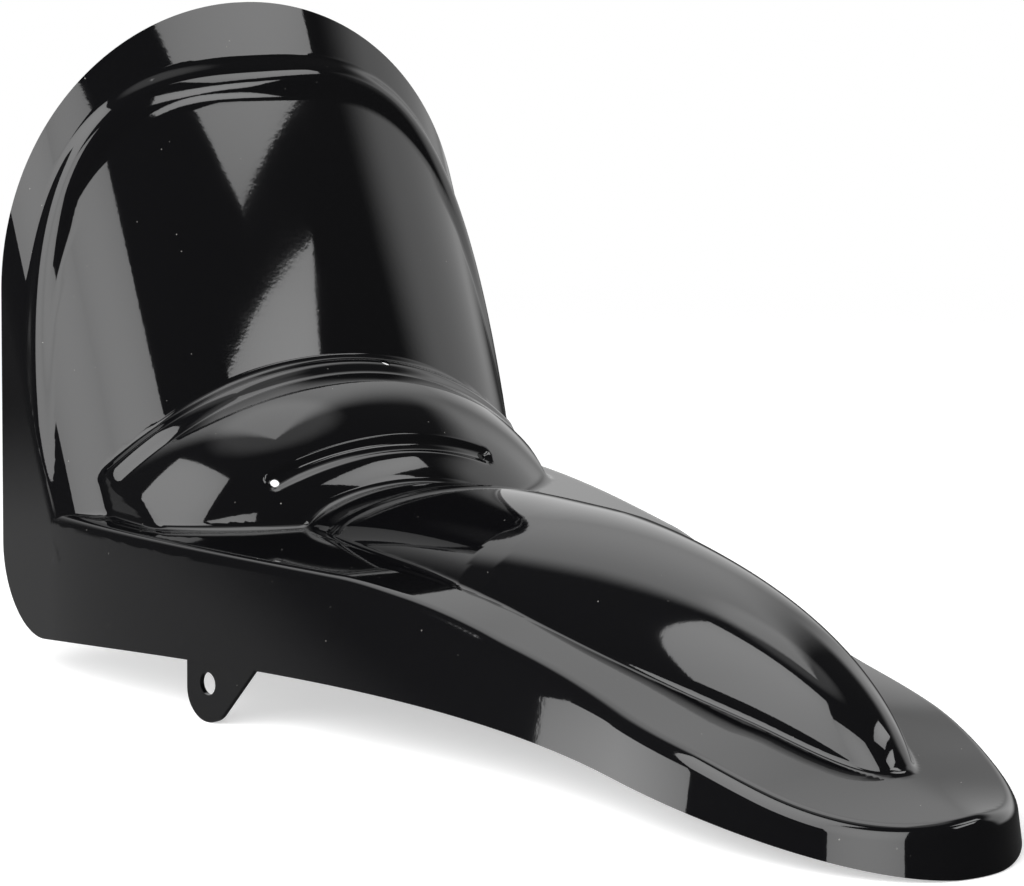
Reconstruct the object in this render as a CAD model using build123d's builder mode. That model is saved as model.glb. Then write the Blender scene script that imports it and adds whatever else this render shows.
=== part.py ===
"""Pressed-steel front mudguard of a small motorcycle, with two welded mounting lugs.

Frame: +X forward to the nose, +Y to the rider's left, +Z up. Z = 0 is the floor that the nose and
the lugs' feet rest on, and the leaning plane of the rear rim meets it at X = 0.
"""

import os
from math import cos, radians, sin, tan

from build123d import *

# Sheet
SHEET = 1.2

# Leaning column and its rear rim
RIM_HEIGHT = 329.0
RIM_LEAN = 5.0
COLUMN_HALF_WIDTH = 135.0
COLUMN_DEPTH_TOP = 67.0
COLUMN_DEPTH_FOOT = 75.0
COLUMN_LEAN = 22.7
COLUMN_FOOT = 60.0

# Raised bead that follows the rim
BEAD_RADIUS = 6.0
BEAD_RISE = 2.8
BEAD_TOP_DROP = 35.5
BEAD_RUN = 216.0
BEAD_END_ANGLE = 86.0
BEAD_DROP_POWER = 1.5

# Nose: plan outline, flared skirt and shoulder
NOSE_HALF_WIDTH = 75.5
NOSE_TIP = 609.5
NOSE_WAIST = 458.5
TAPER_START = 58.5
SKIRT_FLARE = 7.0
SHOULDER_HEIGHT = 79.0
SHOULDER_REAR_SLOPE = 1.2
SHOULDER_BEND = 337.5
SHOULDER_SLOPE = 12.3
BEND_RADIUS = 260.0
NOSE_LEVEL_RADIUS = 450.0
SHOULDER_EDGE_RADIUS = 11.0

# Lower edge of the skirt, seen from the side
EDGE_REAR_HEIGHT = 12.0
EDGE_CREST_X = 253.5
EDGE_CREST_HEIGHT = 30.0
REAR_CORNER_RADIUS = 40.0

# Collar: a cushion turned about a leaning axis, with a rolled lip and a sunk badge seat
COLLAR_CREST_X = 107.0
COLLAR_CREST_HEIGHT = 150.5
COLLAR_LEAN = 18.0
COLLAR_RADIUS = 170.0
COLLAR_LENGTH = 90.0
COLLAR_FALL = 41.0
COLLAR_BULGE = 14.5
COLLAR_SIDE_INSET = 16.0
LIP_RADIUS = 4.5
LIP_RISE = 2.4
LIP_BLEND = 6.0
SEAT_SHARE = 0.62
SEAT_RADIUS = 6.5
SEAT_DEPTH = 2.4
SEAT_HALF_ANGLE = 23.0

# Crown: a long dome that rises out of the shoulder in front of the collar
CROWN_ROOT_X = 140.0
CROWN_MIDDLE = 318.5
CROWN_TIP = 563.5
CROWN_HEIGHT = 107.0
CROWN_ROOT_DROP = 18.0
CROWN_HALF_WIDTH = 58.0
CROWN_SINK = 7.0
CROWN_TIP_HEIGHT = 28.0

# Small holes
BADGE_HOLE = 4.5
CREST_HOLE = 5.5
CREST_HOLE_ANGLE = 11.5

# Mounting lugs
LUG_SHEET = 2.5
LUG_X = 190.0
LUG_RADIUS = 15.0
LUG_HOLE = 11.0
LUG_HOLE_HEIGHT = 18.5
LUG_FRONT = 33.0
LUG_TOP = 58.0
LUG_CORNER = 11.5
LUG_FRONT_STEEPNESS = 1.1
LUG_CLEARANCE = 0.1

# Reach of the untrimmed forms behind the rim and below the floor
OVERRUN = 60.0


def plan_outline(half_width, nose_half_width, tip):
    """Draws one side of the plan outline in the current sketch, mirrors it and fills it."""
    rear = -2.0 * OVERRUN
    with BuildLine() as outline:
        Line((rear, 0.0), (rear, half_width))
        Line((rear, half_width), (TAPER_START, half_width))
        Spline(
            (TAPER_START, half_width),
            (NOSE_WAIST, nose_half_width),
            tangents=[(1.0, 0.0), (1.0, 0.0)],
        )
        EllipticalCenterArc(
            (NOSE_WAIST, 0.0), tip - NOSE_WAIST, nose_half_width, start_angle=0.0, arc_size=90.0
        )
        mirror(about=Plane.XZ)
    make_face(outline.edges())


def shoulder_outline(drop):
    """Fills everything under the shoulder line, seen from the side."""
    slope = radians(SHOULDER_SLOPE)
    top = SHOULDER_HEIGHT - drop
    rear = -2.0 * OVERRUN
    rear_top = top + (SHOULDER_BEND - rear) * tan(radians(SHOULDER_REAR_SLOPE))
    reach = NOSE_TIP + OVERRUN
    level_start = NOSE_TIP - NOSE_LEVEL_RADIUS * sin(slope)
    level_drop = NOSE_LEVEL_RADIUS * (1.0 - cos(slope))
    start_height = top - (level_start - SHOULDER_BEND) * tan(slope)
    with BuildLine() as outline:
        knee = Polyline((rear, rear_top), (SHOULDER_BEND, top), (level_start, start_height))
        fillet(knee.vertices().sort_by(Axis.X)[1], BEND_RADIUS)
        level = TangentArc(
            (level_start, start_height),
            (NOSE_TIP, start_height - level_drop),
            tangent=(cos(slope), -sin(slope)),
        )
        Polyline(
            level @ 1,
            (reach, start_height - level_drop),
            (reach, -OVERRUN),
            (rear, -OVERRUN),
            (rear, rear_top),
        )
    make_face(outline.edges())


def column_axes(depth):
    """Long half axis and centre of the column's half ellipse, at a depth below the rim's top."""
    share = depth / RIM_HEIGHT
    long_axis = COLUMN_DEPTH_TOP + (COLUMN_DEPTH_FOOT - COLUMN_DEPTH_TOP) * share
    front = RIM_HEIGHT * tan(radians(RIM_LEAN)) + depth * tan(radians(COLUMN_LEAN))
    return long_axis, front - long_axis


def column_section(depth, inset):
    """Draws the column's horizontal section at a depth below the rim's top."""
    long_axis, centre = column_axes(depth)
    half_width = COLUMN_HALF_WIDTH - inset
    rear = -2.0 * OVERRUN
    with BuildLine() as outline:
        EllipticalCenterArc(
            (centre, 0.0), long_axis - inset, half_width, start_angle=-90.0, arc_size=180.0
        )
        Polyline(
            (centre, half_width), (rear, half_width), (rear, -half_width), (centre, -half_width)
        )
    make_face(outline.edges())


def skin_point(angle, depth):
    """A point on the column's outer skin, at an angle round its half ellipse."""
    long_axis, centre = column_axes(depth)
    sunk = BEAD_RADIUS - BEAD_RISE
    return Vector(
        centre + (long_axis - sunk) * cos(radians(angle)),
        (COLUMN_HALF_WIDTH - sunk) * sin(radians(angle)),
        RIM_HEIGHT - depth,
    )


def bead_point(angle):
    """A point on the bead's centre line, which drops away from the rim down each side."""
    return skin_point(angle, BEAD_TOP_DROP + BEAD_RUN * (1.0 - cos(radians(angle))) ** BEAD_DROP_POWER)


def nose_half_width(height):
    """Half width of the nose at a height: the skirt leans in as it rises."""
    return NOSE_HALF_WIDTH - height * tan(radians(SKIRT_FLARE))


def nose_tip(height):
    """Front end of the nose at a height."""
    return NOSE_TIP - height * tan(radians(SKIRT_FLARE))


def collar_plane():
    """Sketch plane of the collar's profile: local x runs along its axis, local y outward."""
    lean = radians(COLLAR_LEAN)
    centre_x = COLLAR_CREST_X - COLLAR_RADIUS * sin(lean)
    centre_z = COLLAR_CREST_HEIGHT - COLLAR_RADIUS * cos(lean)
    return Plane(origin=(centre_x, 0, centre_z), x_dir=(cos(lean), 0, -sin(lean)), z_dir=(0, -1, 0))


def collar_face(inset):
    """The collar's face in its profile plane: an arc that falls away from the lip."""
    start = COLLAR_RADIUS - LIP_RISE - inset
    end = start - COLLAR_FALL
    middle = (start + end) / 2.0 + COLLAR_BULGE
    return ThreePointArc(
        (0.0, start), (COLLAR_LENGTH / 2.0, middle), (COLLAR_LENGTH, end), mode=Mode.PRIVATE
    )


def seat_centre():
    """Centre of the badge seat's round bar in the collar's profile plane, and its outward normal."""
    face = collar_face(0.0)
    along = face % SEAT_SHARE
    outward = Vector(-along.Y, along.X)
    return face @ SEAT_SHARE + outward * (SEAT_RADIUS - SEAT_DEPTH), outward


def crown_section(x, inset):
    """Half width, top and base height of the crown's cross-section at a place along it."""
    base = SHOULDER_HEIGHT - CROWN_SINK
    if x > SHOULDER_BEND:
        base -= (x - SHOULDER_BEND) * tan(radians(SHOULDER_SLOPE))
    if x < CROWN_MIDDLE:
        share = (CROWN_MIDDLE - x) / (CROWN_MIDDLE - CROWN_ROOT_X)
        return CROWN_HALF_WIDTH - inset, CROWN_HEIGHT - CROWN_ROOT_DROP * share**3 - inset, base
    share = (x - CROWN_MIDDLE) / (CROWN_TIP - CROWN_MIDDLE)
    half_width = CROWN_HALF_WIDTH * (1.0 - share**2.5) ** 0.4
    rise = (CROWN_HEIGHT - CROWN_TIP_HEIGHT) * (1.0 - share**1.8) ** 0.55
    return half_width - inset, CROWN_TIP_HEIGHT + rise - inset, base


def nose_form(inset):
    """The closed form of nose and skirt, smaller by an inset all round."""
    low = -OVERRUN
    high = SHOULDER_HEIGHT + OVERRUN
    with BuildPart() as nose:
        for height in (low, high):
            with BuildSketch(Plane.XY.offset(height)):
                plan_outline(
                    COLUMN_HALF_WIDTH - inset,
                    nose_half_width(height) - inset,
                    nose_tip(height) - inset,
                )
        loft(ruled=True)
        with BuildSketch(Plane.XZ):
            shoulder_outline(inset)
        extrude(amount=2.0 * COLUMN_HALF_WIDTH, both=True, mode=Mode.INTERSECT)
        rim_edges = nose.edges().filter_by_position(
            Axis.Z, 0.0, SHOULDER_HEIGHT + OVERRUN, inclusive=(False, False)
        )
        side_edges = rim_edges.filter_by(lambda edge: abs(edge.center().Y) > 5.0)
        fillet(side_edges, SHOULDER_EDGE_RADIUS - inset)
    return nose.part


def column_form(inset):
    """The closed form of the leaning column."""
    with BuildPart() as column:
        for depth in (-OVERRUN / 4.0, RIM_HEIGHT - COLUMN_FOOT):
            with BuildSketch(Plane.XY.offset(RIM_HEIGHT - depth)):
                column_section(depth, inset)
        loft(ruled=True)
    return column.part


def collar_form(inset):
    """The closed form of the collar, trimmed to stand inside the shoulder's edge."""
    profile_plane = collar_plane()
    lip_height = COLLAR_RADIUS - LIP_RADIUS
    with BuildPart() as collar:
        with BuildSketch(profile_plane) as profile:
            with BuildLine():
                face = collar_face(inset)
                add(face)
                start = face @ 0
                end = face @ 1
                Polyline(end, (end.X, 0.0), (-OVERRUN, 0.0), (-OVERRUN, start.Y), start)
            make_face()
            with Locations((0.0, lip_height)):
                Circle(LIP_RADIUS - inset)
            valley = profile.vertices().sort_by_distance(profile_plane.from_local_coords((LIP_RADIUS, lip_height)))
            fillet(valley[0], LIP_BLEND + inset)
        revolve(axis=Axis(profile_plane.origin, profile_plane.x_dir))
        with BuildSketch(Plane.XY.offset(-OVERRUN)):
            side = COLLAR_SIDE_INSET + inset
            plan_outline(COLUMN_HALF_WIDTH - side, NOSE_HALF_WIDTH - side, NOSE_TIP - side)
        extrude(amount=2.0 * RIM_HEIGHT, mode=Mode.INTERSECT)
    return collar.part


def crown_form(inset):
    """The closed form of the crown, lofted through upright ellipses to its tip."""
    tip = CROWN_TIP - inset
    rear_run = CROWN_MIDDLE - CROWN_ROOT_X
    front_run = tip - CROWN_MIDDLE
    stations = [CROWN_MIDDLE - rear_run * share for share in (1.0, 0.66, 0.33)]
    stations += [CROWN_MIDDLE + front_run * share for share in (0.0, 0.3, 0.55, 0.75, 0.88, 0.96, 0.99)]
    sections = []
    for x in stations:
        half_width, top, base = crown_section(x, inset)
        with BuildSketch(Plane.YZ.offset(x)) as section:
            with Locations((0.0, base)):
                Ellipse(half_width, top - base)
        sections.append(section.sketch)
    with BuildPart() as crown:
        loft(sections)
    return crown.part


def bead_form(inset):
    """The round bar whose outer side makes the raised bead, with rounded ends."""
    steps = 12
    angles = [BEAD_END_ANGLE * (2.0 * step / steps - 1.0) for step in range(steps + 1)]
    with BuildPart() as bead:
        with BuildLine() as path:
            Spline(*[bead_point(angle) for angle in angles])
        with BuildSketch(Plane(origin=path.line @ 0, z_dir=path.line % 0)):
            Circle(BEAD_RADIUS - inset)
        sweep()
        with Locations(path.line @ 0, path.line @ 1):
            Sphere(BEAD_RADIUS - inset)
    return bead.part


def seat_form(inset):
    """The round bar that sinks the badge seat into the collar, with rounded ends."""
    profile_plane = collar_plane()
    spot, outward = seat_centre()
    centre = profile_plane.from_local_coords((spot.X, 0.0, 0.0))
    seat_plane = Plane(origin=centre, x_dir=profile_plane.y_dir, z_dir=profile_plane.x_dir)
    with BuildPart() as seat:
        with BuildLine(seat_plane) as path:
            CenterArc(
                (0.0, 0.0), spot.Y, start_angle=-SEAT_HALF_ANGLE, arc_size=2.0 * SEAT_HALF_ANGLE
            )
        with BuildSketch(Plane(origin=path.line @ 0, z_dir=path.line % 0)):
            Circle(SEAT_RADIUS + inset)
        sweep()
        with Locations(path.line @ 0, path.line @ 1):
            Sphere(SEAT_RADIUS + inset)
    return seat.part


def pressed_form(inset):
    """The whole pressing as a closed body, smaller by an inset all round."""
    with BuildPart() as form:
        add(nose_form(inset))
        add(column_form(inset))
        add(collar_form(inset))
        add(crown_form(inset))
        add(bead_form(inset))
        add(seat_form(inset), mode=Mode.SUBTRACT)
    return form.part


def collar_spot(place, radius, angle, outward):
    """Plane on the collar facing outward, at a place along its axis and an angle round it."""
    base = collar_plane()
    across = Vector(0, 1, 0)
    ray = base.y_dir * cos(radians(angle)) + across * sin(radians(angle))
    facing = base.x_dir * outward.X + ray * outward.Y
    return Plane(origin=base.origin + base.x_dir * place + ray * radius, z_dir=facing)


def inner_wall_point(x, height):
    """A point on the inner face of the right-hand skirt."""
    wall = Spline(
        (TAPER_START, SHEET - COLUMN_HALF_WIDTH),
        (NOSE_WAIST, SHEET - nose_half_width(height)),
        tangents=[(1.0, 0.0), (1.0, 0.0)],
        mode=Mode.PRIVATE,
    )
    spot = wall @ ((x - TAPER_START) / (NOSE_WAIST - TAPER_START))
    return Vector(spot.X, spot.Y, height)


def lug_plane():
    """Outer face of the right-hand lug, lying along the inside of the skirt."""
    rear = inner_wall_point(LUG_X - LUG_RADIUS, 0.0)
    front = inner_wall_point(LUG_X + LUG_FRONT, 0.0)
    run = (front - rear).normalized()
    foot = rear + run * LUG_RADIUS
    rise = inner_wall_point(LUG_X + LUG_FRONT, LUG_TOP) - front
    outward = run.cross(rise).normalized()
    return Plane(origin=foot - outward * LUG_CLEARANCE, x_dir=run, z_dir=outward)


outer = pressed_form(0.0)
inner = pressed_form(SHEET)

with BuildPart() as mudguard_shell:
    add(outer)
    add(inner, mode=Mode.SUBTRACT)

    # Side outline: leaning rim, rounded rear corner and curved lower edge
    with BuildSketch(Plane.XZ):
        with BuildLine():
            rim_run = tan(radians(RIM_LEAN))
            corner = (EDGE_REAR_HEIGHT * rim_run, EDGE_REAR_HEIGHT)
            edge = ThreePointArc(corner, (EDGE_CREST_X, EDGE_CREST_HEIGHT), (NOSE_TIP, 0.0))
            Polyline(
                edge @ 1,
                (NOSE_TIP + OVERRUN, 0.0),
                (NOSE_TIP + OVERRUN, RIM_HEIGHT + OVERRUN),
                ((RIM_HEIGHT + OVERRUN) * rim_run, RIM_HEIGHT + OVERRUN),
                corner,
            )
        make_face()
        fillet(vertices().sort_by(Axis.X)[0], REAR_CORNER_RADIUS)
    extrude(amount=2.0 * COLUMN_HALF_WIDTH, both=True, mode=Mode.INTERSECT)

    # Badge pin holes at the seat's ends, and the hole in the lip
    seat_spot, seat_outward = seat_centre()
    for angle in (-SEAT_HALF_ANGLE, SEAT_HALF_ANGLE):
        with BuildSketch(collar_spot(seat_spot.X, seat_spot.Y, angle, seat_outward)):
            Circle(BADGE_HOLE / 2.0)
        extrude(amount=-2.0 * SEAT_RADIUS, mode=Mode.SUBTRACT)
    with BuildSketch(collar_spot(0.0, COLLAR_RADIUS + LIP_RISE, CREST_HOLE_ANGLE, Vector(0, 1))):
        Circle(CREST_HOLE / 2.0)
    extrude(amount=-3.0 * LIP_RADIUS, mode=Mode.SUBTRACT)

with BuildPart() as right_mounting_lug:
    with BuildSketch(lug_plane()):
        with BuildLine():
            corner_height = LUG_RADIUS - (LUG_RADIUS**2 - LUG_CORNER**2) ** 0.5
            ThreePointArc((-LUG_RADIUS, LUG_RADIUS), (0.0, 0.0), (LUG_CORNER, corner_height))
            Polyline(
                (LUG_CORNER, corner_height),
                (LUG_FRONT, corner_height + (LUG_FRONT - LUG_CORNER) * LUG_FRONT_STEEPNESS),
                (LUG_FRONT, LUG_TOP),
                (-LUG_RADIUS, LUG_TOP),
                (-LUG_RADIUS, LUG_RADIUS),
            )
        make_face()
        with Locations((0.0, LUG_HOLE_HEIGHT)):
            Circle(LUG_HOLE / 2.0, mode=Mode.SUBTRACT)
    extrude(amount=-LUG_SHEET)

with BuildPart() as left_mounting_lug:
    mirror(right_mounting_lug.part, about=Plane.XZ)

mudguard_shell.part.label = "mudguard_shell"
right_mounting_lug.part.label = "right_mounting_lug"
left_mounting_lug.part.label = "left_mounting_lug"

os.makedirs("parts", exist_ok=True)
export_step(mudguard_shell.part, "parts/mudguard_shell.step")
export_step(right_mounting_lug.part, "parts/right_mounting_lug.step")
export_step(left_mounting_lug.part, "parts/left_mounting_lug.step")
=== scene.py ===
"""Gloss black front mudguard of a motorcycle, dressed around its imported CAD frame.

Laid out as an add-on: sizes and colours are properties, each piece has its own operator, and
main() runs the operators in order. Everything is in metres, in the frame of the CAD part.
"""

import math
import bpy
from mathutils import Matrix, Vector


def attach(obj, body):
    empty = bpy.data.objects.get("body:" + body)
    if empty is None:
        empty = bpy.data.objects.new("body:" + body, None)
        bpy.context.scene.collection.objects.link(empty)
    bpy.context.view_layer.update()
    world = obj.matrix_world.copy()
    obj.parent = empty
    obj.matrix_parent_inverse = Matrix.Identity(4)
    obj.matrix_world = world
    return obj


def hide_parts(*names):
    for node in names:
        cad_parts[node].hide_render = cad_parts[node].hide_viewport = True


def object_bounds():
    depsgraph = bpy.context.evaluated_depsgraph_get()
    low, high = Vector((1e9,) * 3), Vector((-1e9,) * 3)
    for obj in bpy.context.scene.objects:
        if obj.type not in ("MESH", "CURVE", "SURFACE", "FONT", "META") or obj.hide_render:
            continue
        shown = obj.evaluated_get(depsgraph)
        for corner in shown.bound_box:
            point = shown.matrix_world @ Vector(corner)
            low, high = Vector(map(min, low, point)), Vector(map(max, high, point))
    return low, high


bl_info = {
    "name": "Front Mudguard",
    "version": (1, 0, 0),
    "blender": (4, 5, 0),
    "location": "View3D > Sidebar > Mudguard",
    "description": "Models and paints the pressed front mudguard and sets up its studio",
    "category": "Object",
}

import bpy
import numpy as np
from bpy.props import FloatProperty, FloatVectorProperty, IntProperty, PointerProperty
from mathutils import Matrix, Vector

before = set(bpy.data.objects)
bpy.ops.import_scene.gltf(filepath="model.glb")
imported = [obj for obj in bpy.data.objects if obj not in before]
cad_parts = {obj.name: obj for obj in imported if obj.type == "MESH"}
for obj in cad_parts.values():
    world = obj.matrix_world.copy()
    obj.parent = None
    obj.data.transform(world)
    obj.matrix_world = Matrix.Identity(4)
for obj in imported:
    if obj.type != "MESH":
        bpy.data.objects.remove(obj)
CAD_BOX = [list(corner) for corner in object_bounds()]

# Spans along the part, each a start and a run in metres, over which the shoulder changes its form.
FALL_IN = (0.27, 0.11)  # the outward fall beside the crown comes in
FALL_EASE = (0.42, 0.12)  # a share of that fall goes again
FALL_EASE_SHARE = 0.5
FALL_ROUND = 0.008  # rounding along the line where the fall begins, in metres
INNER_CLOSE = (0.40, 0.15)  # that line runs to the middle
RISE_IN = (0.40, 0.10)  # that line rises
DROP_IN = (0.50, 0.11)  # the nose's top drops to its tip

BEAD_CURVE = 1.5  # power by which the bead falls away round the column
BEAD_FADE = 0.09  # angle over which the bead dies away, in radians
FOOT_FADE = 0.014  # run over which the collar's foot sharpens towards the column's sides, in metres

CROWN_PLAN = (4.0, 0.5)  # powers of the crown's outline seen from above
CROWN_PROFILE = (2.15, 0.6)  # powers of its outline seen from the side
CROWN_FULLER = 0.3  # growth of its cross-section's power towards the front
CROWN_FULLER_IN = (0.3, 0.6)  # share of its front at which that growth starts, and its run
CROWN_CUT = 0.02  # length over which the field grows by one past the tip, in metres

EDGE_SAMPLES = 3600  # points of the lower edge among which the rows are chosen
EDGE_LOWEST = 0.0003  # least height of the lower edge, in metres
FAN_SAMPLES = 400  # rays of half a row among which its points are chosen
PROBE_TURNS = (0.0, 20.0, 40.0, 60.0, 78.0, 88.0)  # rays on which the rows' spacing is weighed, in degrees
BEND_WEIGHT = 0.012  # length that a bend of one radian counts for, in metres
ROW_SMEAR, RAY_SMEAR, RAY_SMEAR_ACROSS = 16, 6, 4  # neighbours over which the weights are averaged
RIM_ROW, BEAD_ROW, LIP_ROW = 0.0054, 0.052, 0.0646  # where these rows leave the lower edge, in metres
COLLAR_ROWS = (0.159, 0.318)  # rows that lean like the lip's
NOSE_ROWS = (0.450, 0.520, 0.560, 0.590, 0.6095)
NOSE_LEANS = (27.0, 42.0, 50.0, 62.0, 85.0)  # leans of the nose's rows, in degrees

RAY_SPAN, RAY_HALVINGS = (1e-4, 0.45), 34  # search along a ray for the plain form
SETTLE_SPAN, SETTLE_HALVINGS = 0.005, 24  # search from there for the skin
MERGE_GAP = 0.00002  # points nearer than this become one, in metres
HOLE_SIDES, CUTTER_LENGTH = 40, 0.03
FACING_LIMIT = 0.35  # a face that turns further from the skin is an edge of the sheet

SPECK_SIZE, SPECK_SOFT, SPECK_RARE = 0.055, 0.015, (0.60, 0.04)  # size, edge and rarity of the dust specks
SPECK_COVER, SPECK_ROUGH = 0.5, 0.3  # how much a speck hides the enamel's colour and roughens it
HAZE_ROUGH, INSIDE_ROUGH = 0.025, 0.22  # roughness that the haze and the inside of the shell add

WORLD_LIGHT = 0.4  # the backdrop is white where it is seen, and lights the part with this share
FLOOR_GLOW = 0.45  # light that the floor adds where it is seen
FLOOR_FADE = (1.1, 0.5)  # distance at which the floor turns into plain white, and its softness, in metres
FAR_LIGHT = 0.3  # share with which that white lights the part

# The two front panels lie on one board: its aim, then azimuth and elevation in degrees and its distance.
BOARD_AIM = (0.07, -0.02, 0.22)
BOARD_PLACE = (26.0, 35.0, 1.4)
# Name, lower and then upper two corners, and brightness. On the board a corner is given across and up.
BOARD_PANELS = (
    ("front_panel_upper", ((-0.066, 0.027), (0.65, 0.04), (-0.32, 0.27), (0.65, 0.27)), 4.2),
    ("front_panel_lower", ((-0.45, -0.25), (0.08, -0.22), (-0.45, -0.04), (0.325, -0.074)), 5.0),
)
PANELS = (
    ("near_panel", ((0.69, -0.84, -0.08), (1.053, -0.443, -0.08), (0.69, -0.84, 1.1), (1.053, -0.443, 1.1)), 4.2),
    ("side_panel", ((0.0, -0.95, 0.2), (0.71, -0.85, 0.2), (-0.75, -0.95, 2.5), (0.71, -0.85, 2.4)), 4.4),
    ("low_card", ((0.318, -0.17, -0.04), (0.44, -0.17, -0.04), (0.318, -0.17, 0.035), (0.44, -0.17, 0.035)), 3.5),
)
PANEL_MIDDLE, PANEL_FALL = 1.08, 0.5  # share of its brightness in a panel's middle, and how it fades outward

# The studio's walls. A glow is an azimuth in degrees, the cosine at which it is half lit, and its softness.
WALL_RADIUS = 3.2
WALL_CENTRE = (0.35, 0.0, 0.0)
WALL_DIM = 0.07
BEHIND, BEHIND_LEAST, BEHIND_GAIN, BEHIND_FROM = (163.0, 0.77, 0.13), 0.85, 2.8, 0.14
RIGHT, RIGHT_LIGHT = (95.0, 0.908, 0.058), 1.3
GROUND, GROUND_LIGHT = (-140.0, 0.5, 0.4), 0.3
OVER_AIM, OVER_LIGHT = (-0.053, 0.019, 0.306), 0.7  # the patch overhead: its direction over the radius


def length(name, description, default):
    """A length property in metres."""
    return FloatProperty(name=name, description=description, default=default, unit="LENGTH", precision=5)


def angle(name, description, degrees):
    """An angle property, given in degrees."""
    return FloatProperty(name=name, description=description, default=math.radians(degrees), subtype="ANGLE")


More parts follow.
